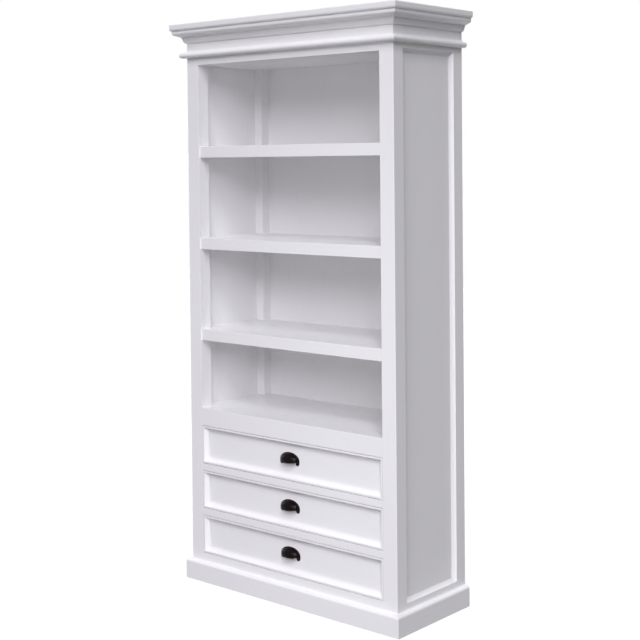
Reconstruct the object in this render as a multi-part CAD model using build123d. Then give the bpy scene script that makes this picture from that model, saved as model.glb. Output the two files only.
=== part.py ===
from build123d import *
import math
import os

# A tall painted bookcase: four open bays over three inset drawers, between a
# coved plinth and a moulded crown. Millimetres, +Z up. The origin is on the
# floor, in the middle of the top board's width and depth. +X is to the right
# as seen from the front, and the front faces -Y.

# Case, overall
case_width = 889.0
case_depth = 359.0

# Heights, from the floor up
bottom_rail_height = 96.0
drawer_opening_height = 130.2
drawer_rail_height = 23.8
deck_rail_height = 60.3
lowest_bay_height = 231.0
middle_bay_height = 272.9
top_bay_height = 276.2
shelf_thickness = 38.7
top_rail_reveal = 25.1
neck_height = 24.4
frieze_height = 27.2
crown_height = 39.7
top_board_thickness = 23.0

drawer_count = 3
shelf_count = 3

# Posts and rails
post_width = 53.0
post_depth = 47.0
post_arris = 2.0
joint_arris = 0.6
rail_thickness = 22.0
side_bottom_rail_height = 88.0
side_top_rail_height = 108.5

# Panels and boards
groove_depth = 8.0
side_panel_thickness = 7.0
back_panel_thickness = 6.0
back_panel_inset = 5.0
deck_board_thickness = 18.0
ceiling_board_thickness = 18.0
floor_board_thickness = 12.0
shelf_set_back = 4.0
shelf_arris = 1.5

# Slightly hollow bevelled moulding round the outside of a side panel
panel_bevel_size = 11.5
panel_bevel_lip = 0.5
panel_bevel_hollow = 1.0

# Top board
top_board_overhang = 42.6
nose_top_radius = 3.5
nose_bottom_radius = 9.0

# Crown moulding, from the foot up: an ovolo, a fillet, a soffit and a rounded face
crown_projection = 36.0
crown_foot_projection = 5.0
crown_quirk_projection = 11.6
crown_quirk_height = 15.2
crown_ovolo_bulge = 0.7
crown_fillet_projection = 12.6
crown_fillet_height = 3.9
crown_soffit_rise = 6.7
crown_soffit_slope = 21.0
crown_round_radius = 8.0

# Neck moulding: a bead with a cove on top
neck_projection = 19.3
neck_bead_radius = 9.3
neck_bead_end_angle = 75.0
neck_cove_lip = 0.6
neck_cove_sag = 2.2

# Plinth
plinth_height = 71.0
plinth_thickness = 16.0
plinth_lip = 0.8
plinth_cove_radius = 4.5
plinth_nose_radius = 9.5

# Drawers
front_gap = 1.6
front_set_back = 0.5
front_thickness = 26.0
front_rim = 5.0
front_cove_radius = 20.0
front_recess_depth = 14.5
front_arris = 0.8
drawer_back_clearance = 27.5
drawer_side_height = 108.0
drawer_side_thickness = 12.0
drawer_side_clearance = 2.5
drawer_bottom_thickness = 5.0
drawer_bottom_lift = 8.0
drawer_groove_depth = 5.0
drawer_back_drop = 5.0
running_clearance = 0.3

# Runners and stops
runner_ledge_width = 22.0
runner_ledge_thickness = 20.0
runner_guide_height = 30.0
stop_length = 50.0
stop_depth = 15.0
stop_height = 6.0
stop_place_share = 0.32

# Cup pull: half a cup on a thin flange with two ears
cup_half_length = 38.5
cup_radius = 22.5
cup_wall = 2.2
cup_turn = 110.0
cup_outer_sides = 9
cup_inner_sides = 7
flange_rim = 2.5
flange_thickness = 2.6
ear_radius = 7.5
ear_place = 33.5
ear_drop = 8.0

# Pull screws
screw_head_radius = 3.2
screw_head_height = 1.9
screw_crown_share = 0.8
screw_radius = 1.4
screw_hole_clearance = 0.2
screw_grip = 9.0
pilot_clearance = 0.05
pilot_extra_depth = 0.5

# Cuts run this far past the solid that they open
overrun = 5.0

# An edge counts as at a place when it is this near
search_reach = 0.05

# Places worked out from the sizes
half_width = case_width / 2
back = (case_depth + top_board_overhang) / 2
front = back - case_depth
opening_half_width = half_width - post_width
front_post_back = front + post_depth
back_post_front = back - post_depth
back_panel_face = back - back_panel_inset - back_panel_thickness
side_panel_recess = panel_bevel_size + panel_bevel_lip
side_panel_face = half_width - side_panel_recess
side_panel_inside = side_panel_face - side_panel_thickness
side_rail_inside = half_width - rail_thickness

drawer_pitch = drawer_opening_height + drawer_rail_height
drawer_stack_top = bottom_rail_height + drawer_count * drawer_pitch - drawer_rail_height
deck_top = drawer_stack_top + deck_rail_height
shelf_undersides = [deck_top + lowest_bay_height]
while len(shelf_undersides) < shelf_count:
    shelf_undersides.append(shelf_undersides[-1] + shelf_thickness + middle_bay_height)
opening_top = shelf_undersides[-1] + shelf_thickness + top_bay_height
neck_bottom = opening_top + top_rail_reveal
crown_bottom = neck_bottom + neck_height + frieze_height
top_board_bottom = crown_bottom + crown_height
overall_height = top_board_bottom + top_board_thickness
side_top_rail_bottom = top_board_bottom - side_top_rail_height

nodes = {}
axes = {"x": Axis.X, "y": Axis.Y, "z": Axis.Z}


def block(low, high):
    """A box from its lowest to its highest corner."""
    size = [b - a for a, b in zip(low, high)]
    return Pos(*low) * Box(*size, align=(Align.MIN, Align.MIN, Align.MIN))


def keep_pair(name, right):
    """Keeps a right-hand piece and its mirror image as name_right and name_left."""
    nodes[name + "_right"] = right
    nodes[name + "_left"] = mirror(right, about=Plane.YZ)


def edges_at(solid, **places):
    """The straight edges of a solid that lie at the given x, y and z."""
    found = solid.edges()
    for axis, place in places.items():
        found = found.filter_by_position(axes[axis], place - search_reach, place + search_reach)
    return found


# Corner posts. Each has a groove for the side panel, and a back post has one
# more for the back panel.
panel_low = side_bottom_rail_height - groove_depth
panel_high = opening_top + groove_depth
side_panel_high = side_top_rail_bottom + groove_depth
back_panel_low = bottom_rail_height - groove_depth

side_panel_space = block(
    (side_panel_inside, front_post_back - groove_depth, panel_low),
    (side_panel_face, back_post_front + groove_depth, side_panel_high))
back_panel_space = block(
    (-opening_half_width - groove_depth, back_panel_face, back_panel_low),
    (opening_half_width + groove_depth, back_panel_face + back_panel_thickness, panel_high))


def front_post():
    post = block((opening_half_width, front, 0), (half_width, front_post_back, top_board_bottom))
    post = fillet(edges_at(post, x=half_width, y=front), radius=post_arris)
    post = fillet(edges_at(post, x=opening_half_width, y=front), radius=joint_arris)
    return post - side_panel_space


def back_post():
    post = block((opening_half_width, back_post_front, 0), (half_width, back, top_board_bottom))
    post = fillet(edges_at(post, x=half_width, y=back), radius=post_arris)
    return post - side_panel_space - back_panel_space


keep_pair("post_front", front_post())
keep_pair("post_back", back_post())

# Side frames: rails and a thin panel in their grooves
side_top_rail = block(
    (side_rail_inside, front_post_back, side_top_rail_bottom),
    (half_width, back_post_front, top_board_bottom))
side_bottom_rail = block(
    (side_rail_inside, front_post_back, 0), (half_width, back_post_front, side_bottom_rail_height))
keep_pair("side_top_rail", side_top_rail - side_panel_space)
keep_pair("side_bottom_rail", side_bottom_rail - side_panel_space)
keep_pair("side_panel", side_panel_space)


def bevel_strip_outline():
    """A strip's outline: X runs in over the panel, and Y out from it."""
    size = side_panel_recess
    bevel = Line((size, panel_bevel_lip), (panel_bevel_lip, size))
    inward = Vector(-1, -1).normalized()
    hollow = ThreePointArc(bevel @ 0, bevel.center() + inward * panel_bevel_hollow, bevel @ 1)
    backs = Polyline(bevel @ 1, (0, size), (0, 0), (size, 0), bevel @ 0)
    return make_face(hollow + backs)


def bevel_strip(middle, inward, half_length):
    """One strip along a side of the panel, mitred at both ends."""
    middle, inward = Vector(*middle), Vector(*inward)
    along = inward.cross(Vector(1, 0, 0))
    plane = Plane(origin=middle, x_dir=inward, z_dir=along)
    strip = extrude(plane * bevel_strip_outline(), amount=half_length, both=True)
    for direction in (along, -along):
        corner = middle + direction * half_length
        mitre = Plane(origin=corner, z_dir=direction + inward)
        strip = split(strip, bisect_by=mitre, keep=Keep.BOTTOM)
    return strip


def side_moulding():
    """Four mitred strips round the outside of the right side panel."""
    middle_y = (front_post_back + back_post_front) / 2
    middle_z = (side_bottom_rail_height + side_top_rail_bottom) / 2
    half_depth = (back_post_front - front_post_back) / 2
    half_rise = (side_top_rail_bottom - side_bottom_rail_height) / 2
    face = side_panel_face
    strips = [
        bevel_strip((face, front_post_back, middle_z), (0, 1, 0), half_rise),
        bevel_strip((face, back_post_front, middle_z), (0, -1, 0), half_rise),
        bevel_strip((face, middle_y, side_bottom_rail_height), (0, 0, 1), half_depth),
        bevel_strip((face, middle_y, side_top_rail_bottom), (0, 0, -1), half_depth)]
    return Compound(children=[strip.solid() for strip in strips])


keep_pair("side_moulding", side_moulding())

# Rails across the front and the back. The front rails are flush with the posts.


def front_rail(low, high, depth):
    rail = block((-opening_half_width, front, low), (opening_half_width, front + depth, high))
    return fillet(edges_at(rail, y=front).filter_by(Axis.X), radius=joint_arris)


nodes["top_rail_front"] = front_rail(opening_top, top_board_bottom, rail_thickness)
nodes["deck_rail"] = front_rail(drawer_stack_top, deck_top, rail_thickness)
nodes["bottom_rail_front"] = front_rail(0, bottom_rail_height, post_depth)
rail_names = ["drawer_rail_upper", "drawer_rail_lower"]
for number, name in enumerate(rail_names):
    rail_top = drawer_stack_top - drawer_opening_height - number * drawer_pitch
    nodes[name] = front_rail(rail_top - drawer_rail_height, rail_top, post_depth)

rail_back_face = back - rail_thickness
top_rail_back = block(
    (-opening_half_width, rail_back_face, opening_top), (opening_half_width, back, top_board_bottom))
bottom_rail_back = block(
    (-opening_half_width, rail_back_face, 0), (opening_half_width, back, bottom_rail_height))
nodes["top_rail_back"] = top_rail_back - back_panel_space
nodes["bottom_rail_back"] = bottom_rail_back - back_panel_space
nodes["back_panel"] = back_panel_space


# Boards. Each one fits between the posts, and between the side frames where
# the posts leave room.


def board(bottom, top, board_front, board_back, wing_reach):
    """A board notched round the posts, with wings that reach the side frames."""
    between_posts = block(
        (-opening_half_width, board_front, bottom), (opening_half_width, board_back, top))
    wings = block((-wing_reach, front_post_back, bottom), (wing_reach, back_post_front, top))
    return between_posts + wings


for number, underside in enumerate(reversed(shelf_undersides), start=1):
    shelf_front = front + shelf_set_back
    shelf = board(underside, underside + shelf_thickness, shelf_front, back_panel_face, side_panel_inside)
    front_edges = edges_at(shelf, y=shelf_front).filter_by(Axis.X)
    nodes[f"shelf_{number}"] = fillet(front_edges, radius=shelf_arris)

nodes["deck_board"] = board(
    deck_top - deck_board_thickness, deck_top, front + rail_thickness, back_panel_face, side_panel_inside)
nodes["ceiling_board"] = board(
    opening_top, opening_top + ceiling_board_thickness, front + rail_thickness, rail_back_face,
    side_rail_inside)
floor_board_top = bottom_rail_height - runner_ledge_thickness
nodes["floor_board"] = board(
    floor_board_top - floor_board_thickness, floor_board_top, front_post_back, rail_back_face,
    side_rail_inside)


# Top board, rounded to a nose on its front and its two ends


def top_board():
    reach = half_width + top_board_overhang
    top_board_front = front - top_board_overhang
    slab = block((-reach, top_board_front, top_board_bottom), (reach, back, overall_height))
    for height, radius in ((overall_height, nose_top_radius), (top_board_bottom, nose_bottom_radius)):
        nosed = [edge for edge in edges_at(slab, z=height) if edge.center().Y < back - search_reach]
        slab = fillet(nosed, radius=radius)
    return slab


nodes["top_board"] = top_board()


# Mouldings that run round the front and the two sides. In an outline X is the
# distance out from the case, and Y is the height above the moulding's foot.


def crown_outline():
    fillet_foot = crown_quirk_height
    fillet_top = fillet_foot + crown_fillet_height
    soffit_edge = fillet_top + crown_soffit_rise
    round_start = crown_projection - crown_round_radius
    foot = Polyline((0, crown_height), (0, 0), (crown_foot_projection, 0))
    chord = Line(foot @ 1, (crown_quirk_projection, fillet_foot))
    outward = Vector(chord % 0).rotate(Axis.Z, -90)
    ovolo = ThreePointArc(chord @ 0, chord.center() + outward * crown_ovolo_bulge, chord @ 1)
    round_centre = (round_start, soffit_edge + crown_round_radius)
    rounded = CenterArc(
        round_centre, crown_round_radius, crown_soffit_slope - 90, 90 - crown_soffit_slope)
    middle = Polyline(
        chord @ 1, (crown_fillet_projection, fillet_foot), (crown_fillet_projection, fillet_top),
        rounded @ 0)
    face = Polyline(rounded @ 1, (crown_projection, crown_height), (0, crown_height))
    return make_face(foot + ovolo + middle + rounded + face)


def neck_outline():
    bead_centre = neck_projection - neck_bead_radius
    bead = CenterArc((bead_centre, neck_bead_radius), neck_bead_radius, -90, 90 + neck_bead_end_angle)
    cove_end = Vector(neck_cove_lip, neck_height)
    chord_middle = (bead @ 1 + cove_end) / 2
    cove_middle = (chord_middle.X - neck_cove_sag / 2, chord_middle.Y - neck_cove_sag)
    cove = ThreePointArc(bead @ 1, cove_middle, cove_end)
    inside = Polyline(cove_end, (0, neck_height), (0, 0), (bead_centre, 0))
    return make_face(bead + cove + inside)


def plinth_outline():
    ledge = plinth_height - plinth_cove_radius
    cove = CenterArc((plinth_lip + plinth_cove_radius, plinth_height), plinth_cove_radius, 180, 90)
    nose_centre = (plinth_thickness - plinth_nose_radius, ledge - plinth_nose_radius)
    nose = CenterArc(nose_centre, plinth_nose_radius, 90, -90)
    body = Polyline(nose @ 1, (plinth_thickness, 0), (0, 0), (0, plinth_height), cove @ 0)
    return make_face(cove + Line(cove @ 1, nose @ 0) + nose + body)


def keep_mitred(name, outline, foot):
    """Keeps the front, right and left lengths of a moulding, mitred at the corners."""
    reach = outline.bounding_box().max.X
    front_plane = Plane(origin=(0, front, foot), x_dir=(0, -1, 0), z_dir=(-1, 0, 0))
    side_plane = Plane(origin=(half_width, back, foot), x_dir=(1, 0, 0), z_dir=(0, -1, 0))
    right_mitre = Plane(origin=(half_width, front, foot), z_dir=(1, 1, 0))
    left_mitre = Plane(origin=(-half_width, front, foot), z_dir=(-1, 1, 0))
    across = extrude(front_plane * outline, amount=half_width + reach, both=True)
    across = split(across, bisect_by=right_mitre, keep=Keep.BOTTOM)
    nodes[name + "_front"] = split(across, bisect_by=left_mitre, keep=Keep.BOTTOM)
    along = extrude(side_plane * outline, amount=case_depth + reach)
    keep_pair(name, split(along, bisect_by=right_mitre, keep=Keep.TOP))


keep_mitred("crown", crown_outline(), crown_bottom)
keep_mitred("neck_moulding", neck_outline(), neck_bottom)
keep_mitred("plinth", plinth_outline(), 0)


# Drawer runners: L-shaped strips between the posts, with a ledge under the
# drawer's side and a guide beside it.


def runner(floor):
    """The right-hand runner of the drawer whose opening starts at floor."""
    ledge_edge = opening_half_width - runner_ledge_width
    ledge_bottom = floor - runner_ledge_thickness
    ledge = block((ledge_edge, front_post_back, ledge_bottom), (side_rail_inside, back_post_front, floor))
    guide = block(
        (opening_half_width, front_post_back, floor),
        (side_rail_inside, back_post_front, floor + runner_guide_height))
    return ledge + guide


def stop(floor):
    """The right-hand stop of the drawer whose opening starts at floor."""
    middle = case_width * stop_place_share
    stop_front = front + front_set_back + front_thickness + running_clearance
    return block(
        (middle - stop_length / 2, stop_front, floor),
        (middle + stop_length / 2, stop_front + stop_depth, floor + stop_height))


def both_sides(make):
    """One node with a piece and its mirror image for each drawer."""
    solids = []
    for number in range(drawer_count):
        right = make(bottom_rail_height + number * drawer_pitch)
        solids.append(right.solid())
        solids.append(mirror(right, about=Plane.YZ).solid())
    return Compound(children=solids)


nodes["drawer_runners"] = both_sides(runner)
nodes["drawer_stops"] = both_sides(stop)

# Drawers
front_face = front + front_set_back
front_back = front_face + front_thickness
field_face = front_face + front_recess_depth
drawer_end = back_panel_face - drawer_back_clearance
side_outside = opening_half_width - drawer_side_clearance
side_inside = side_outside - drawer_side_thickness
front_plane_out = Plane(origin=(0, 0, 0), x_dir=(1, 0, 0), z_dir=(0, -1, 0))


def bottom_space(floor):
    """The space of a drawer's thin bottom: it lies in grooves of front and sides."""
    low = floor + running_clearance + drawer_bottom_lift
    return block(
        (-side_inside - drawer_groove_depth, front_back - drawer_groove_depth, low),
        (side_inside + drawer_groove_depth, drawer_end, low + drawer_bottom_thickness))


def drawer_front(floor, pull_height):
    """The front: a narrow rim, a cove down to the flat field, and two pilot holes."""
    reach = opening_half_width - front_gap
    low, high = floor + front_gap, floor + drawer_opening_height - front_gap
    slab = block((-reach, front_face, low), (reach, front_back, high))
    slab = fillet(edges_at(slab, y=front_face), radius=front_arris)
    recess = block(
        (-reach + front_rim, field_face - front_cove_radius - overrun, low + front_rim),
        (reach - front_rim, field_face, high - front_rim))
    recess = fillet(edges_at(recess, y=field_face), radius=front_cove_radius)
    slab = slab - recess - bottom_space(floor)
    depth = screw_grip + pilot_extra_depth
    pilot = Cylinder(screw_radius + pilot_clearance, depth, align=(Align.CENTER, Align.CENTER, Align.MAX))
    for x in (-ear_place, ear_place):
        slab = slab - Pos(x, field_face, pull_height - ear_drop) * front_plane_out.location * pilot
    return slab


def drawer_side(floor):
    low = floor + running_clearance
    side = block((side_inside, front_back, low), (side_outside, drawer_end, low + drawer_side_height))
    return side - bottom_space(floor)


def drawer_back(floor):
    low = floor + running_clearance + drawer_bottom_lift + drawer_bottom_thickness
    high = floor + running_clearance + drawer_side_height - drawer_back_drop
    return block((-side_inside, drawer_end - drawer_side_thickness, low), (side_inside, drawer_end, high))


def half_oval(half_length, rise, sides):
    """The upper half of an oval, as a polygon with so many equal turns."""
    turns = [math.pi * number / sides for number in range(sides + 1)]
    corners = [(half_length * math.cos(turn), rise * math.sin(turn)) for turn in turns]
    return make_face(Polyline(*corners, close=True))


def cup_pull():
    """A cast cup on a flange, drawn upright with the middle of its base at the origin."""
    hollow = half_oval(cup_half_length - cup_wall, cup_radius - cup_wall, cup_inner_sides)
    shell = half_oval(cup_half_length, cup_radius, cup_outer_sides) - hollow
    cup = revolve(Plane.XZ * shell, axis=Axis.X, revolution_arc=cup_turn)
    flange = half_oval(cup_half_length + flange_rim, cup_radius + flange_rim, cup_outer_sides) - hollow
    for side in (-1, 1):
        flange = flange + Pos(side * ear_place, -ear_drop) * Circle(ear_radius)
        web_middle = side * (ear_place + ear_radius / 2)
        flange = flange + Pos(web_middle, -ear_drop / 2) * Rectangle(ear_radius, ear_drop)
    for side in (-1, 1):
        hole = Circle(screw_radius + screw_hole_clearance)
        flange = flange - Pos(side * ear_place, -ear_drop) * hole
    return cup + extrude(Plane.XZ * flange, amount=flange_thickness)


def pull_screw():
    """A round-head screw with its head's seat at the origin and its head up."""
    shank_end = -flange_thickness - screw_grip
    profile = Polyline(
        (0, screw_head_height), (0, shank_end), (screw_radius, shank_end), (screw_radius, 0),
        (screw_head_radius, 0), (screw_head_radius * screw_crown_share, screw_head_height), close=True)
    return revolve(Plane.XZ * make_face(profile), axis=Axis.Z)


def pull_screws(pull_height):
    seat = field_face - flange_thickness
    screws = []
    for x in (-ear_place, ear_place):
        placed = Pos(x, seat, pull_height - ear_drop) * front_plane_out.location * pull_screw()
        screws.append(placed.solid())
    return Compound(children=screws)


for number in range(1, drawer_count + 1):
    floor = bottom_rail_height + (drawer_count - number) * drawer_pitch
    pull_height = floor + drawer_opening_height / 2
    name = f"drawer_{number}_"
    nodes[name + "front"] = drawer_front(floor, pull_height)
    keep_pair(name + "side", drawer_side(floor))
    nodes[name + "back"] = drawer_back(floor)
    nodes[name + "bottom"] = bottom_space(floor)
    nodes[name + "cup_pull"] = Pos(0, field_face, pull_height) * cup_pull()
    nodes[name + "pull_screws"] = pull_screws(pull_height)

os.makedirs("parts", exist_ok=True)
for name, shape in nodes.items():
    export_step(shape, os.path.join("parts", name + ".step"))
print(len(nodes), "nodes,", overall_height, "high")
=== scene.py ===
# %% [markdown]
# # A white painted bookcase with three drawers
# The object is a tall wooden case: four open bays over three shallow drawers,
# between a moulded plinth and a moulded crown. Its solids come from the packed
# model, in metres, and stay where they are. This lesson gives them their
# finishes, softens their edges, adds the castings of the drawer pulls, and
# sets up the studio. Everything below is made from formulas and shader nodes.

# %% Load the frame
import math

import bmesh
import bpy
from mathutils import Euler, Matrix, Vector


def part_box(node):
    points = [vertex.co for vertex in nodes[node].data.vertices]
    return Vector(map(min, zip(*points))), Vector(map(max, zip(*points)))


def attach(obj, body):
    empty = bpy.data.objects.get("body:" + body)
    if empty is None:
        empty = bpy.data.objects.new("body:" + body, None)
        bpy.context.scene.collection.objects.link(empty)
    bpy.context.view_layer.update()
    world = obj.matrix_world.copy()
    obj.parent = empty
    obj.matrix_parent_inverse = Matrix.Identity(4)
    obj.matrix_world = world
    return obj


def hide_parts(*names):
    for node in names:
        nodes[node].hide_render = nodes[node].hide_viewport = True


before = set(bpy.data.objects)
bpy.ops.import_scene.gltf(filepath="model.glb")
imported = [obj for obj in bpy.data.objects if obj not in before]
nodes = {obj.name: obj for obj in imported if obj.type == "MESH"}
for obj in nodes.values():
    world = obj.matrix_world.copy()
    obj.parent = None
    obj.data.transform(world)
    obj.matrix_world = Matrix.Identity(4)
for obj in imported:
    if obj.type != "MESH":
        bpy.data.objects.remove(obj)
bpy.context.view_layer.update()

MM = 0.001

# %% [markdown]
# ## The camera
# The camera stands to the right of the case, a little below the height of the
# top shelf. A product photographer keeps the upright edges nearly parallel by
# holding the camera level and shifting the lens down. So the pitch is small
# here and the lens shift does the framing. The alternative, tilting the whole
# camera, would make the posts lean together.

# %% Camera
camera_place = (2.7924, -3.2108, 1.4319)
camera_yaw, camera_pitch, camera_roll = 40.86, -1.54, -0.54
lens_length = 72.54
lens_shift = -0.19325

camera = bpy.data.objects.new("camera", bpy.data.cameras.new("camera"))
turned = Euler((math.radians(90 + camera_pitch), 0, math.radians(camera_yaw))).to_matrix()
turned = turned @ Matrix.Rotation(math.radians(camera_roll), 3, "Z")
camera.matrix_world = Matrix.Translation(camera_place) @ turned.to_4x4()
camera.data.sensor_width = 36
camera.data.lens = lens_length
camera.data.shift_y = lens_shift
camera.data.clip_end = 60
scene = bpy.context.scene
scene.collection.objects.link(camera)
scene.camera = camera
scene.view_settings.view_transform = "Standard"
print("camera at", [round(x, 3) for x in camera.location])

# %% [markdown]
# ## Small helpers for shader nodes
# A material is a graph. Placing each node by hand takes many lines, so two
# helpers do it: one adds a node with its values, the other joins two sockets.
# A helper like this keeps the graph readable as text.

# %% Node helpers


def add_node(tree, kind, values=None, **settings):
    """Adds a node, sets its attributes, and gives its input sockets their values."""
    node = tree.nodes.new(kind)
    for name, value in settings.items():
        setattr(node, name, value)
    for name, value in (values or {}).items():
        node.inputs[name].default_value = value
    return node


def join(tree, *pairs):
    """Joins each pair of sockets, an output and then an input."""
    for source, target in pairs:
        tree.links.new(source, target)


print("helpers ready")

# %% [markdown]
# ## The floor
# The case stands on a white sweep in soft light. A plain sheet of white would
# need far too much light to look white, so the floor adds a glow that only the
# camera and mirror-like rays see. The light that falls on the case is left
# alone. The glow is a little weaker near the case, so that the shadow round the
# plinth still shows, and full farther out.

# %% Floor
floor_reach = 9.0
floor_tone = (0.12, 0.12, 0.12, 1)
glow_near, glow_far = 0.94, 1.0
glow_from, glow_to = 0.7, 2.2


def seen_directly(tree):
    """A value that is 1 for rays from the camera, in mirrors and through glass."""
    path = add_node(tree, "ShaderNodeLightPath")
    sums = [add_node(tree, "ShaderNodeMath", operation="ADD", use_clamp=True) for _ in range(2)]
    join(
        tree,
        (path.outputs["Is Camera Ray"], sums[0].inputs[0]),
        (path.outputs["Is Glossy Ray"], sums[0].inputs[1]),
        (sums[0].outputs[0], sums[1].inputs[0]),
        (path.outputs["Is Transmission Ray"], sums[1].inputs[1]))
    return sums[1].outputs[0]


def make_floor_surface():
    material = bpy.data.materials.new("white_sweep")
    material.use_nodes = True
    tree = material.node_tree
    tree.nodes.clear()
    paper = add_node(tree, "ShaderNodeBsdfDiffuse", {"Color": floor_tone})
    glow = add_node(tree, "ShaderNodeEmission")
    place = add_node(tree, "ShaderNodeTexCoord")
    distance = add_node(tree, "ShaderNodeVectorMath", operation="LENGTH")
    rising = add_node(
        tree, "ShaderNodeMapRange",
        {"From Min": glow_from, "From Max": glow_to, "To Min": glow_near, "To Max": glow_far},
        interpolation_type="SMOOTHSTEP")
    amount = add_node(tree, "ShaderNodeMath", operation="MULTIPLY")
    total = add_node(tree, "ShaderNodeAddShader")
    output = add_node(tree, "ShaderNodeOutputMaterial")
    join(
        tree,
        (place.outputs["Object"], distance.inputs[0]),
        (distance.outputs["Value"], rising.inputs["Value"]),
        (seen_directly(tree), amount.inputs[0]),
        (rising.outputs["Result"], amount.inputs[1]),
        (amount.outputs[0], glow.inputs["Strength"]),
        (paper.outputs[0], total.inputs[0]),
        (glow.outputs[0], total.inputs[1]),
        (total.outputs[0], output.inputs["Surface"]))
    return material


floor_mesh = bpy.data.meshes.new("floor")
floor_signs = ((-1, -1), (1, -1), (1, 1), (-1, 1))
floor_corners = [(x * floor_reach, y * floor_reach, 0) for x, y in floor_signs]
floor_mesh.from_pydata(floor_corners, [], [(0, 1, 2, 3)])
floor_mesh.materials.append(make_floor_surface())
sheet = bpy.data.objects.new("floor", floor_mesh)
scene.collection.objects.link(sheet)
print("floor", floor_reach * 2, "m wide")

# %% [markdown]
# ## The sky
# The sky works like the floor's glow: white to the camera, in mirrors and
# through glass, and otherwise black. A sky that lit the case would send light
# into the bays from all sides and wash out the shadows under the shelves, so
# that work is left to the lamps.

# %% Sky
world = bpy.data.worlds.new("studio")
world.use_nodes = True
sky = world.node_tree
sky.nodes.clear()
black = add_node(sky, "ShaderNodeBackground", {"Strength": 0.0})
white = add_node(sky, "ShaderNodeBackground", {"Color": (1, 1, 1, 1), "Strength": 1.0})
sky_mix = add_node(sky, "ShaderNodeMixShader")
sky_output = add_node(sky, "ShaderNodeOutputWorld")
join(
    sky,
    (seen_directly(sky), sky_mix.inputs["Fac"]),
    (black.outputs[0], sky_mix.inputs[1]),
    (white.outputs[0], sky_mix.inputs[2]),
    (sky_mix.outputs[0], sky_output.inputs["Surface"]))
scene.world = world
print("sky", world.name, "with", len(sky.nodes), "nodes")

# %% [markdown]
# ## The lamps
# The front is as bright at the plinth as under the crown, yet every shelf
# throws a soft slanting shadow on the side wall below it. Only a tall bank of
# soft lights far to the front right does that, so wide suns stand for the
# bank, side by side and one above the other, with one more almost straight in
# front. The right-hand post is brighter than the left one, which a far light
# can't do: a tall strip light stands near the right-hand end of the front. Two
# boxes at the left and behind light the sides that the photograph doesn't
# show, and stand so far round that they don't reach the others.

# %% Lamps
lamp_tint = (0.982, 0.965, 1.03)
sun_spread = math.radians(15)
sun_distance = floor_reach
suns = {
    # name: (degrees to the right of the front, degrees above the floor, strength)
    "bank_low": (25, 22, 0.527),
    "bank_low_right": (45, 22, 0.449),
    "bank_middle": (45, 36, 0.584),
    "bank_high": (25, 50, 0.347),
    "bank_high_right": (45, 50, 0.835),
    "front_high": (5, 36, 0.496),
}
boxes = {
    # name: (place, point it faces, width, height, watts)
    "strip": ((0.55, -1.0, 1.0), (0.0, -0.15, 1.0), 0.3, 1.8, 3.38),
    "left_box": ((-3.0, 0.3, 1.2), (0.0, 0.1, 1.0), 1.4, 1.4, 34.0),
    "back_box": ((0.3, 3.0, 1.2), (0.0, 0.2, 1.0), 1.4, 1.4, 34.0),
}


def add_lamp(name, kind, place, target, power):
    """A lamp at a place that faces a point. Gives back its data."""
    data = bpy.data.lights.new(name, kind)
    data.energy = power
    data.color = lamp_tint
    lamp = bpy.data.objects.new(name, data)
    aim = Vector(target) - Vector(place)
    turned = aim.to_track_quat("-Z", "Y").to_matrix().to_4x4()
    lamp.matrix_world = Matrix.Translation(place) @ turned
    lamp.visible_camera = False
    scene.collection.objects.link(lamp)
    return data


for name, (turn, rise, strength) in suns.items():
    turn, rise = math.radians(turn), math.radians(rise)
    level = math.cos(rise)
    place = Vector((level * math.sin(turn), -level * math.cos(turn), math.sin(rise)))
    sun = add_lamp(name, "SUN", place * sun_distance, (0, 0, 0), strength)
    sun.angle = sun_spread
for name, (place, target, width, height, watts) in boxes.items():
    box = add_lamp(name, "AREA", place, target, watts)
    box.shape = "RECTANGLE"
    box.size, box.size_y = width, height
print(len(suns), "suns and", len(boxes), "boxes")

# %% [markdown]
# ## Painted wood
# The case is wood under a few coats of satin white paint. Close up such paint
# is never flat: the brush leaves fine ridges along each piece, the grain sinks
# in a little, and the tone drifts by a shade from place to place. These effects
# belong to every painted piece, so they are one node group, built once. The
# strokes have to run along each piece, so a material stretches the coordinates
# along X, Y or Z before they enter the group.

# %% Group helpers
skin_outputs = [
    ("Color", "NodeSocketColor"), ("Roughness", "NodeSocketFloat"), ("Height", "NodeSocketFloat")]
# Most values of a noise lie between these two.
noise_low, noise_high = 0.3, 0.7
# A mix node has sockets for each kind of data. These are the colour ones.
mix_colour_inputs, mix_colour_output = (6, 7), 2


def new_group(name, inputs, outputs):
    """A shader node group with named sockets."""
    group = bpy.data.node_groups.new(name, "ShaderNodeTree")
    for socket, kind, value in inputs:
        made = group.interface.new_socket(socket, in_out="INPUT", socket_type=kind)
        if value is not None:
            made.default_value = value
    for socket, kind in outputs:
        group.interface.new_socket(socket, in_out="OUTPUT", socket_type=kind)
    entry = group.nodes.new("NodeGroupInput")
    leave = group.nodes.new("NodeGroupOutput")
    return group, entry.outputs, leave.inputs


def blend_colours(tree, factor, first, second):
    """A colour mix, from the sockets of a factor and two colours."""
    mix = add_node(tree, "ShaderNodeMix", data_type="RGBA")
    tree.links.new(factor, mix.inputs["Factor"])
    for place, colour in zip(mix_colour_inputs, (first, second)):
        tree.links.new(colour, mix.inputs[place])
    return mix.outputs[mix_colour_output]


def spread(tree, value, low, high):
    """Maps a noise value from around a half to the range from low to high."""
    ranged = add_node(
        tree, "ShaderNodeMapRange",
        {"From Min": noise_low, "From Max": noise_high, "To Min": low, "To Max": high})
    tree.links.new(value, ranged.inputs["Value"])
    return ranged.outputs["Result"]


print("group helpers ready")

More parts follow.
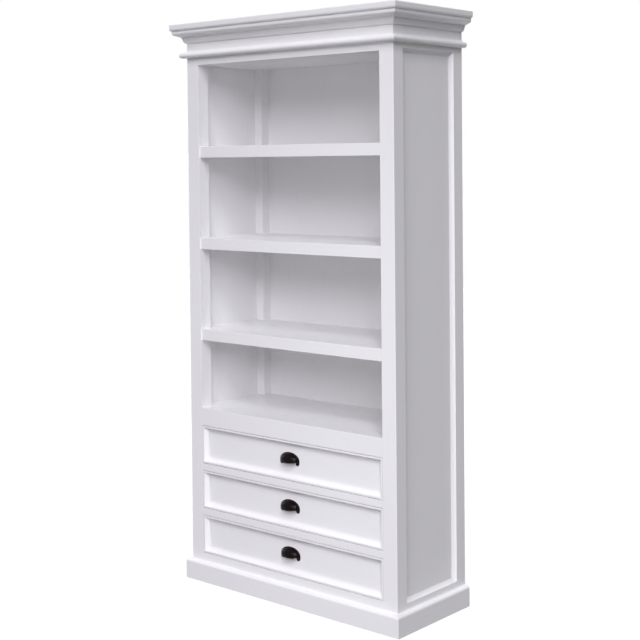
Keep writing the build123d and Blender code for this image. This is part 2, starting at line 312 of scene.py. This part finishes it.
# %% [markdown]
# ## One paint for every piece
# Four noises make the film. Strokes and pores follow the brush, drift and
# orange peel don't. Strokes and peel give the height, pores and drift the
# tone, and a stroke's ridge is also a little less glossy than its valley. A
# picture of brush strokes would repeat itself and blur from close by. Noise
# does neither.

# %% Brushed paint group
stroke_scale, pore_scale, drift_scale, peel_scale = 420.0, 1400.0, 3.1, 260.0
pore_shade = (0.99, 1.005)
stroke_share = 0.6
gloss_centre, gloss_wander = 0.30, 0.03


def build_paint_group():
    group, given, made = new_group(
        "brushed_paint",
        [("Stretched", "NodeSocketVector", None), ("Place", "NodeSocketVector", None),
         ("Light Tone", "NodeSocketColor", None), ("Dark Tone", "NodeSocketColor", None)],
        skin_outputs)
    strokes = add_node(
        group, "ShaderNodeTexNoise", {"Scale": stroke_scale, "Detail": 3.0, "Roughness": 0.55})
    pores = add_node(
        group, "ShaderNodeTexNoise", {"Scale": pore_scale, "Detail": 2.0, "Roughness": 0.6})
    drift = add_node(
        group, "ShaderNodeTexNoise", {"Scale": drift_scale, "Detail": 3.0, "Roughness": 0.5})
    orange_peel = add_node(
        group, "ShaderNodeTexNoise", {"Scale": peel_scale, "Detail": 1.0, "Roughness": 0.4})
    join(
        group,
        (given["Stretched"], strokes.inputs["Vector"]),
        (given["Stretched"], pores.inputs["Vector"]),
        (given["Place"], drift.inputs["Vector"]),
        (given["Place"], orange_peel.inputs["Vector"]))
    drifted = spread(group, drift.outputs["Fac"], 0.0, 1.0)
    tone = blend_colours(group, drifted, given["Dark Tone"], given["Light Tone"])
    shade = add_node(group, "ShaderNodeVectorMath", operation="SCALE")
    height = add_node(group, "ShaderNodeMath", {1: stroke_share}, operation="MULTIPLY_ADD")
    gloss = spread(
        group, strokes.outputs["Fac"], gloss_centre - gloss_wander, gloss_centre + gloss_wander)
    join(
        group,
        (tone, shade.inputs[0]),
        (spread(group, pores.outputs["Fac"], *pore_shade), shade.inputs["Scale"]),
        (strokes.outputs["Fac"], height.inputs[0]),
        (orange_peel.outputs["Fac"], height.inputs[2]),
        (shade.outputs[0], made["Color"]),
        (gloss, made["Roughness"]),
        (height.outputs[0], made["Height"]))
    return group


paint_group = build_paint_group()
print(paint_group.name, "has", len(paint_group.nodes), "nodes")

# %% [markdown]
# ## Three directions of the same paint
# A shelf is brushed from end to end, a post from top to bottom. One material
# for each direction is simpler than unwrapping fifty pieces, and the strokes
# never break at the edge of an image. The ridges are only about a hundredth of
# a millimetre high, so a bump is enough for them.

# %% Paint materials
white_light_tone = (0.862, 0.858, 0.863, 1)
white_dark_tone = (0.850, 0.846, 0.851, 1)
stroke_stretch = 0.03
stroke_depth = 0.01 * MM
paint_specular = 0.5


def placed_group(tree, group, values):
    """The group as a node, with values for some of its inputs."""
    return add_node(tree, "ShaderNodeGroup", values, node_tree=group)


def surface_of(name, specular):
    """A new material with its Principled shader and output."""
    material = bpy.data.materials.new(name)
    material.use_nodes = True
    tree = material.node_tree
    tree.nodes.clear()
    shader = add_node(tree, "ShaderNodeBsdfPrincipled", {"Specular IOR Level": specular})
    output = add_node(tree, "ShaderNodeOutputMaterial")
    join(tree, (shader.outputs[0], output.inputs["Surface"]))
    return material, tree, shader


def places(tree, axis, stretch):
    """Object coordinates as they are, and drawn out along one axis."""
    place = add_node(tree, "ShaderNodeTexCoord")
    drawn = add_node(tree, "ShaderNodeMapping")
    drawn.inputs["Scale"].default_value = [stretch if n == axis else 1.0 for n in range(3)]
    join(tree, (place.outputs["Object"], drawn.inputs["Vector"]))
    return place.outputs["Object"], drawn.outputs[0]


def dress(tree, shader, skin, depth):
    """Gives a group's colour, roughness and height to the shader."""
    bump = add_node(tree, "ShaderNodeBump", {"Strength": 1.0, "Distance": depth})
    join(
        tree,
        (skin.outputs["Color"], shader.inputs["Base Color"]),
        (skin.outputs["Roughness"], shader.inputs["Roughness"]),
        (skin.outputs["Height"], bump.inputs["Height"]),
        (bump.outputs[0], shader.inputs["Normal"]))


def make_paint(name, axis):
    material, tree, shader = surface_of(name, paint_specular)
    place, stretched = places(tree, axis, stroke_stretch)
    film = placed_group(
        tree, paint_group, {"Light Tone": white_light_tone, "Dark Tone": white_dark_tone})
    join(tree, (stretched, film.inputs["Stretched"]), (place, film.inputs["Place"]))
    dress(tree, shader, film, stroke_depth)
    return material


paint = {letter: make_paint("white_paint_along_" + letter, n) for n, letter in enumerate("xyz")}
print("paint materials:", ", ".join(m.name for m in paint.values()))

# %% [markdown]
# ## Bare wood inside
# The drawer boxes, the runners, the stops and the floor board are bare pale
# wood, as furniture makers leave them. Growth rings come from distorted bands
# and pores from a noise, both stretched along the board. They are in one group,
# again with the direction given from outside.

# %% Pale wood group and materials
early_wood, late_wood = (0.74, 0.6, 0.43, 1), (0.66, 0.505, 0.34, 1)
ring_values = {"Scale": 38.0, "Distortion": 8.0, "Detail": 3.0, "Detail Scale": 1.1}
wood_pore_scale, wood_pore_shade = 900.0, (0.88, 1.04)
wood_roughness, wood_specular = (0.62, 0.74), 0.3
wood_stretch = 0.06
wood_pore_depth = 0.08 * MM


def build_wood_group():
    group, given, made = new_group(
        "pale_wood",
        [("Stretched", "NodeSocketVector", None), ("Early Wood", "NodeSocketColor", early_wood),
         ("Late Wood", "NodeSocketColor", late_wood)],
        skin_outputs)
    rings = add_node(
        group, "ShaderNodeTexWave", ring_values, wave_type="BANDS", bands_direction="DIAGONAL")
    pores = add_node(
        group, "ShaderNodeTexNoise", {"Scale": wood_pore_scale, "Detail": 4.0, "Roughness": 0.65})
    ringed = blend_colours(group, rings.outputs["Fac"], given["Late Wood"], given["Early Wood"])
    shade = add_node(group, "ShaderNodeVectorMath", operation="SCALE")
    join(
        group,
        (given["Stretched"], rings.inputs["Vector"]),
        (given["Stretched"], pores.inputs["Vector"]),
        (ringed, shade.inputs[0]),
        (spread(group, pores.outputs["Fac"], *wood_pore_shade), shade.inputs["Scale"]),
        (shade.outputs[0], made["Color"]),
        (spread(group, rings.outputs["Fac"], *wood_roughness), made["Roughness"]),
        (pores.outputs["Fac"], made["Height"]))
    return group


wood_group = build_wood_group()


def make_wood(name, axis):
    material, tree, shader = surface_of(name, wood_specular)
    _, stretched = places(tree, axis, wood_stretch)
    grain = placed_group(tree, wood_group, {})
    join(tree, (stretched, grain.inputs["Stretched"]))
    dress(tree, shader, grain, wood_pore_depth)
    return material


wood = {letter: make_wood("pale_wood_along_" + letter, n) for n, letter in enumerate("xy")}
print("wood materials:", ", ".join(m.name for m in wood.values()))

# %% [markdown]
# ## Which finish goes where
# Every solid keeps its shape and only gets a new material in its slots. The
# direction of the brush follows from the box of the piece: it runs along the
# longest side. That needs no table of fifty names, and it can't be wrong for a
# piece that someone makes longer. Only the bare pieces are told apart by name.

# %% Assign the finishes
bare_in_drawer = ("_side_", "_back", "_bottom")
bare_in_case = ("runners", "stops", "floor_board")


def is_bare(name):
    if name.startswith("drawer_") and name[len("drawer_")].isdigit():
        return any(word in name for word in bare_in_drawer)
    return name.endswith(bare_in_case)


def longest_axis(name):
    low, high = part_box(name)
    return max(range(3), key=lambda n: high[n] - low[n])


def give(piece, material):
    """The piece's only material, in each slot that it has."""
    if not piece.data.materials:
        piece.data.materials.append(material)
    for number in range(len(piece.data.materials)):
        piece.data.materials[number] = material


painted, bare = [], []
for name, node in nodes.items():
    if name.endswith(("cup_pull", "pull_screws")):
        continue
    letter = "xyz"[longest_axis(name)]
    if is_bare(name):
        give(node, wood["y" if letter == "y" else "x"])
        bare.append(name)
    else:
        give(node, paint[letter])
        painted.append(name)
print(len(painted), "painted and", len(bare), "bare pieces")

# %% [markdown]
# ## Softened edges
# No planed and painted edge is perfectly sharp: a light touch of sandpaper and
# the paint itself round it. A bevel modifier of a few tenths of a millimetre
# catches the light there, and where two pieces meet it leaves the fine line
# that shows a joint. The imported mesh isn't touched: the weld joins the corners
# that it keeps apart, and the weighted normals keep the broad faces flat.

# %% Edge modifiers
painted_edge, bare_edge = 0.45 * MM, 0.4 * MM
edge_angle = math.radians(32)
edge_steps = 2
weld_distance = 0.001 * MM
face_area_weight = 100


def soften(piece, width):
    weld = piece.modifiers.new("weld", "WELD")
    weld.merge_threshold = weld_distance
    bevel = piece.modifiers.new("bevel", "BEVEL")
    bevel.width = width
    bevel.segments = edge_steps
    bevel.limit_method = "ANGLE"
    bevel.angle_limit = edge_angle
    bevel.use_clamp_overlap = True
    normals = piece.modifiers.new("normals", "WEIGHTED_NORMAL")
    normals.mode = "FACE_AREA"
    normals.weight = face_area_weight


for name in painted:
    soften(nodes[name], painted_edge)
for name in bare:
    soften(nodes[name], bare_edge)
print("softened", len(painted) + len(bare), "pieces")

# %% [markdown]
# ## Dark cast metal
# The pulls are thin castings with a dark, nearly black finish. A casting keeps
# the fine grain of its mould, and fingers polish the parts that they touch, so
# the roughness wanders. A group holds that skin, because the pulls and their
# screws share it with different values.

# %% Cast metal group and materials
iron_tone, iron_worn_tone = (0.0025, 0.0005, 0.0012, 1), (0.009, 0.004, 0.005, 1)
iron_grain, iron_relief = 1500.0, 0.04 * MM
steel_tone, steel_worn_tone = (0.012, 0.011, 0.011, 1), (0.035, 0.032, 0.031, 1)
steel_grain, steel_relief = 2400.0, 0.02 * MM
worn_patch_scale, worn_share = 95.0, 0.6
cast_roughness, cast_specular = (0.22, 0.12), 0.08


def build_cast_group():
    group, given, made = new_group(
        "cast_skin",
        [("Place", "NodeSocketVector", None), ("Metal", "NodeSocketColor", None),
         ("Worn Metal", "NodeSocketColor", None), ("Grain Size", "NodeSocketFloat", None)],
        skin_outputs)
    grain = add_node(group, "ShaderNodeTexNoise", {"Detail": 4.0, "Roughness": 0.6})
    patches = add_node(
        group, "ShaderNodeTexNoise", {"Scale": worn_patch_scale, "Detail": 3.0, "Roughness": 0.55})
    wear = spread(group, patches.outputs["Fac"], 0.0, worn_share)
    join(
        group,
        (given["Place"], grain.inputs["Vector"]),
        (given["Grain Size"], grain.inputs["Scale"]),
        (given["Place"], patches.inputs["Vector"]),
        (blend_colours(group, wear, given["Metal"], given["Worn Metal"]), made["Color"]),
        (spread(group, patches.outputs["Fac"], *cast_roughness), made["Roughness"]),
        (grain.outputs["Fac"], made["Height"]))
    return group


cast_group = build_cast_group()


def make_cast(name, metal, worn, grain_size, depth):
    material, tree, shader = surface_of(name, cast_specular)
    place = add_node(tree, "ShaderNodeTexCoord")
    skin = placed_group(
        tree, cast_group, {"Metal": metal, "Worn Metal": worn, "Grain Size": grain_size})
    join(tree, (place.outputs["Object"], skin.inputs["Place"]))
    dress(tree, shader, skin, depth)
    return material


dark_iron = make_cast("pull_cast_iron", iron_tone, iron_worn_tone, iron_grain, iron_relief)
dark_steel = make_cast("screw_steel", steel_tone, steel_worn_tone, steel_grain, steel_relief)
print("metal:", dark_iron.name, dark_steel.name)

# %% [markdown]
# ## The cup pulls
# Each pull is half of a hollow oval cup, open below so that fingers go in, on a
# flat flange with two ears for the screws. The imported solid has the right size
# and collides, but its cup is made of plain rings. Here the cup is a smooth
# grid of points on two ovals, one inside the other, joined along their edges.

# %% The hollow cup
cup_half_length, cup_radius, cup_wall = 38.5 * MM, 22.5 * MM, 2.2 * MM
cup_turn = math.radians(110)
cup_steps, turn_steps = 56, 26


def cup_point(length, radius, along, turn):
    """A point on an oval that is turned forward and down about its long axis."""
    across = radius * math.sin(along)
    return (length * math.cos(along), -across * math.sin(turn), across * math.cos(turn))


def add_cup(mesh):
    """The hollow cup: an outer and an inner skin, joined along both open edges."""
    skins = []
    for shrink in (0.0, cup_wall):
        rows = []
        for i in range(cup_steps + 1):
            along = math.pi * i / cup_steps
            turns = [cup_turn * j / turn_steps for j in range(turn_steps + 1)]
            length, radius = cup_half_length - shrink, cup_radius - shrink
            points = [cup_point(length, radius, along, turn) for turn in turns]
            rows.append([mesh.verts.new(point) for point in points])
        skins.append(rows)
    for rows in skins:
        for i in range(cup_steps):
            for j in range(turn_steps):
                mesh.faces.new((rows[i][j], rows[i + 1][j], rows[i + 1][j + 1], rows[i][j + 1]))
    outer, inner = skins
    for j in (0, turn_steps):
        for i in range(cup_steps):
            mesh.faces.new((outer[i][j], outer[i + 1][j], inner[i + 1][j], inner[i][j]))


print("cup of", 2 * (cup_steps + 1) * (turn_steps + 1), "points")

# %% [markdown]
# ## Flange and ears
# The flange is a flat ring sector that follows the cup's rim. Each ear is a
# round plate below the end of the rim, and a small square web fills the corner
# between the two. Plates are easier to fit than a drawn outline of the whole,
# because each keeps its own size when another changes.

# %% Plates
flange_rim, flange_thickness = 2.5 * MM, 2.6 * MM
ear_radius, ear_place, ear_drop = 7.5 * MM, 33.5 * MM, 8.0 * MM
web_rise = 0.4 * MM
merge_distance = 0.01 * MM
round_steps = 40


def add_plate(mesh, outline, front, back):
    """A flat plate from its outline in X and Z, between two places along Y."""
    near = [mesh.verts.new((x, front, z)) for x, z in outline]
    far = [mesh.verts.new((x, back, z)) for x, z in outline]
    mesh.faces.new(near)
    mesh.faces.new(far[::-1])
    for i in range(len(outline)):
        k = (i + 1) % len(outline)
        mesh.faces.new((near[i], far[i], far[k], near[k]))


def oval(length, rise, start, end, steps):
    """Points of an oval from one angle to another, in X and Z."""
    turns = [math.radians(start + (end - start) * i / steps) for i in range(steps + 1)]
    return [(length * math.cos(t), rise * math.sin(t)) for t in turns]


def whole_round(radius):
    """The outline of a round plate, without the point that closes it twice."""
    return oval(radius, radius, 0, 360, round_steps)[:-1]


def add_ears(mesh):
    for side in (-1, 1):
        ear = [(side * ear_place + x, z - ear_drop) for x, z in whole_round(ear_radius)]
        add_plate(mesh, ear, -flange_thickness, 0)
        near, far = side * ear_place, side * (ear_place + ear_radius)
        web = [(near, -ear_drop), (far, -ear_drop), (far, web_rise), (near, web_rise)]
        add_plate(mesh, web, -flange_thickness, 0)


def mesh_of(draft, name):
    """Turns a bmesh into mesh data with the given name."""
    bmesh.ops.recalc_face_normals(draft, faces=draft.faces)
    data = bpy.data.meshes.new(name)
    draft.to_mesh(data)
    draft.free()
    return data


def make_pull_mesh():
    mesh = bmesh.new()
    add_cup(mesh)
    rim = oval(cup_half_length + flange_rim, cup_radius + flange_rim, 0, 180, cup_steps)
    hollow = oval(cup_half_length - cup_wall, cup_radius - cup_wall, 180, 0, cup_steps)
    add_plate(mesh, rim + hollow, -flange_thickness, 0)
    add_ears(mesh)
    bmesh.ops.remove_doubles(mesh, verts=mesh.verts, dist=merge_distance)
    return mesh_of(mesh, "cup_pull")


rough_pull = make_pull_mesh()
print("rough pull:", len(rough_pull.vertices), "points")

# %% [markdown]
# ## One skin
# A casting is one piece of metal. Booleans would leave sharp seams where the
# plates meet the cup. So a voxel remesh melts cup, flange and ears into one
# closed skin, smoothing rounds it as a mould does, and a decimate step drops
# the points that flat places don't need. The result is kept as plain data, so
# that each pull can be a copy of it.

# %% Remesh
voxel = 0.5 * MM
smooth_share, smooth_rounds = 0.5, 4
kept_share = 0.3


def settled(data, name, *modifiers):
    """The mesh after some modifiers, as plain data."""
    draft = bpy.data.objects.new(name + "_draft", data)
    scene.collection.objects.link(draft)
    for kind, values in modifiers:
        modifier = draft.modifiers.new(kind.lower(), kind)
        for key, value in values.items():
            setattr(modifier, key, value)
    bpy.context.view_layer.update()
    graph = bpy.context.evaluated_depsgraph_get()
    done = bpy.data.meshes.new_from_object(draft.evaluated_get(graph))
    done.name = name
    bpy.data.objects.remove(draft)
    return done


pull_mesh = settled(
    rough_pull, "cup_pull",
    ("REMESH", {"mode": "VOXEL", "voxel_size": voxel, "use_smooth_shade": True}),
    ("SMOOTH", {"factor": smooth_share, "iterations": smooth_rounds}),
    ("DECIMATE", {"ratio": kept_share}))
pull_mesh.shade_smooth()
print("cup pull:", len(pull_mesh.vertices), "points,", len(pull_mesh.polygons), "faces")

# %% [markdown]
# ## The screws
# Two round-head screws hold each pull. A head is a shallow dome with a slot
# across it, cut by a boolean. It is modelled once, and every screw of every
# pull is a turned copy of it.

# %% Screw mesh
head_radius, head_height = 3.2 * MM, 1.9 * MM
slot_width, slot_depth = 0.8 * MM, 0.9 * MM
slot_bevel, slot_bevel_angle = 0.12 * MM, math.radians(40)
head_rings = 7


def make_head_mesh():
    """A dome with its seat at the origin, facing -Y. Its slot along X is cut afterwards."""
    mesh = bmesh.new()
    ball_radius = (head_radius ** 2 + head_height ** 2) / (2 * head_height)
    ball_turn = math.asin(head_radius / ball_radius)
    rings = []
    for i in range(head_rings):
        turn = ball_turn * (1 - i / head_rings)
        rise = ball_radius * math.cos(turn) - ball_radius + head_height
        ring = whole_round(ball_radius * math.sin(turn))
        rings.append([mesh.verts.new((x, -rise, z)) for x, z in ring])
    top = mesh.verts.new((0, -head_height, 0))
    for low, high in zip(rings, rings[1:]):
        for i in range(round_steps):
            k = (i + 1) % round_steps
            mesh.faces.new((low[i], low[k], high[k], high[i]))
    for i in range(round_steps):
        mesh.faces.new((rings[-1][i], rings[-1][(i + 1) % round_steps], top))
    mesh.faces.new(rings[0][::-1])
    return mesh_of(mesh, "head")


def make_slot_cutter():
    mesh = bmesh.new()
    half, reach = slot_width / 2, head_radius * 2
    outline = [(-reach, -half), (reach, -half), (reach, half), (-reach, half)]
    add_plate(mesh, outline, -head_height * 2, slot_depth - head_height)
    cutter = bpy.data.objects.new("slot_cutter", mesh_of(mesh, "slot_cutter"))
    scene.collection.objects.link(cutter)
    return cutter


cutter = make_slot_cutter()
head_mesh = settled(
    make_head_mesh(), "screw_head",
    ("BOOLEAN", {"operation": "DIFFERENCE", "object": cutter, "solver": "EXACT"}),
    ("BEVEL", {
        "width": slot_bevel, "segments": edge_steps,
        "limit_method": "ANGLE", "angle_limit": slot_bevel_angle}))
bpy.data.objects.remove(cutter)
head_mesh.shade_smooth()
print("screw head:", len(head_mesh.polygons), "faces")

# %% [markdown]
# ## Fitting the pulls
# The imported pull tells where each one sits: its back face lies on the drawer
# front, and its ears end a fixed distance below the middle of the cup. The new
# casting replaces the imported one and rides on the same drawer, so it moves out
# with it. No two slots of real screws point the same way, so each head has an
# angle of its own.

# %% Place the pulls and screws
ear_foot = ear_drop + ear_radius
slot_angles = {"drawer_1": (24, -61), "drawer_2": (8, 77), "drawer_3": (-35, 52)}


def stand(name, data, middle):
    """A new object with this mesh at a place."""
    piece = bpy.data.objects.new(name, data)
    piece.location = middle
    scene.collection.objects.link(piece)
    return piece


def joined_heads(name, angles):
    """Both screw heads of a pull as one mesh, each turned by its own angle."""
    mesh = bmesh.new()
    for side, angle in zip((-1, 1), angles):
        loose = head_mesh.copy()
        seat = Matrix.Translation((side * ear_place, -flange_thickness, -ear_drop))
        loose.transform(seat @ Matrix.Rotation(math.radians(angle), 4, "Y"))
        mesh.from_mesh(loose)
        bpy.data.meshes.remove(loose)
    data = bpy.data.meshes.new(name)
    mesh.to_mesh(data)
    mesh.free()
    data.shade_smooth()
    return data


for body, angles in slot_angles.items():
    low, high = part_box(body + "_cup_pull")
    middle = Vector(((low.x + high.x) / 2, high.y, low.z + ear_foot))
    heads_name = body + "_slotted_heads"
    pull = stand(body + "_cast_pull", pull_mesh.copy(), middle)
    heads = stand(heads_name, joined_heads(heads_name, angles), middle)
    for piece, material, slot, replaced in (
            (pull, dark_iron, "dark_iron", "_cup_pull"),
            (heads, dark_steel, "dark_steel", "_pull_screws")):
        give(piece, material)
        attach(piece, body)
        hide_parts(body + replaced)
    print(body, "pull at", [round(c, 4) for c in middle])
